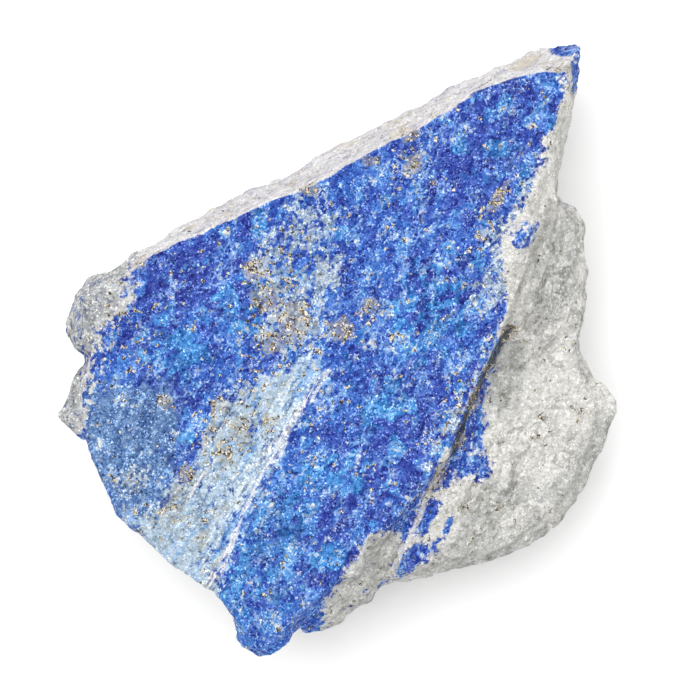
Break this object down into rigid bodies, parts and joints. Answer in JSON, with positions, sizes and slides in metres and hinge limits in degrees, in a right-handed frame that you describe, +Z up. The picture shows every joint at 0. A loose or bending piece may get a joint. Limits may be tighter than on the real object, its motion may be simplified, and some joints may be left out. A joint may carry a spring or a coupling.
{
  "type": "raw lapis lazuli stone",
  "caption": "Rough, unpolished piece of lapis lazuli: a blue slab with a flat fracture face and pale far side, grown into a lower body of grey calcite, lying on a flat broken base",
  "frame": {"origin": "centre of the bounding box in plan, on the table plane that the flat base lies on", "axes": "Z up through the thickness, from the flat base to the blue face; Y along the length, with the pointed tip towards +Y; X across, with the grey calcite body towards +X"},
  "size_m": [0.0682, 0.0742, 0.028],
  "materials": {
    "lapis_lazuli": "raw broken rock with a sugary grain, ultramarine lazurite with pale and grey calcite and specks of pyrite, matte with small glints"
  },
  "bodies": {
    "root": {"lapis_lazuli": "lapis_lazuli"}
  },
  "joints": []
}
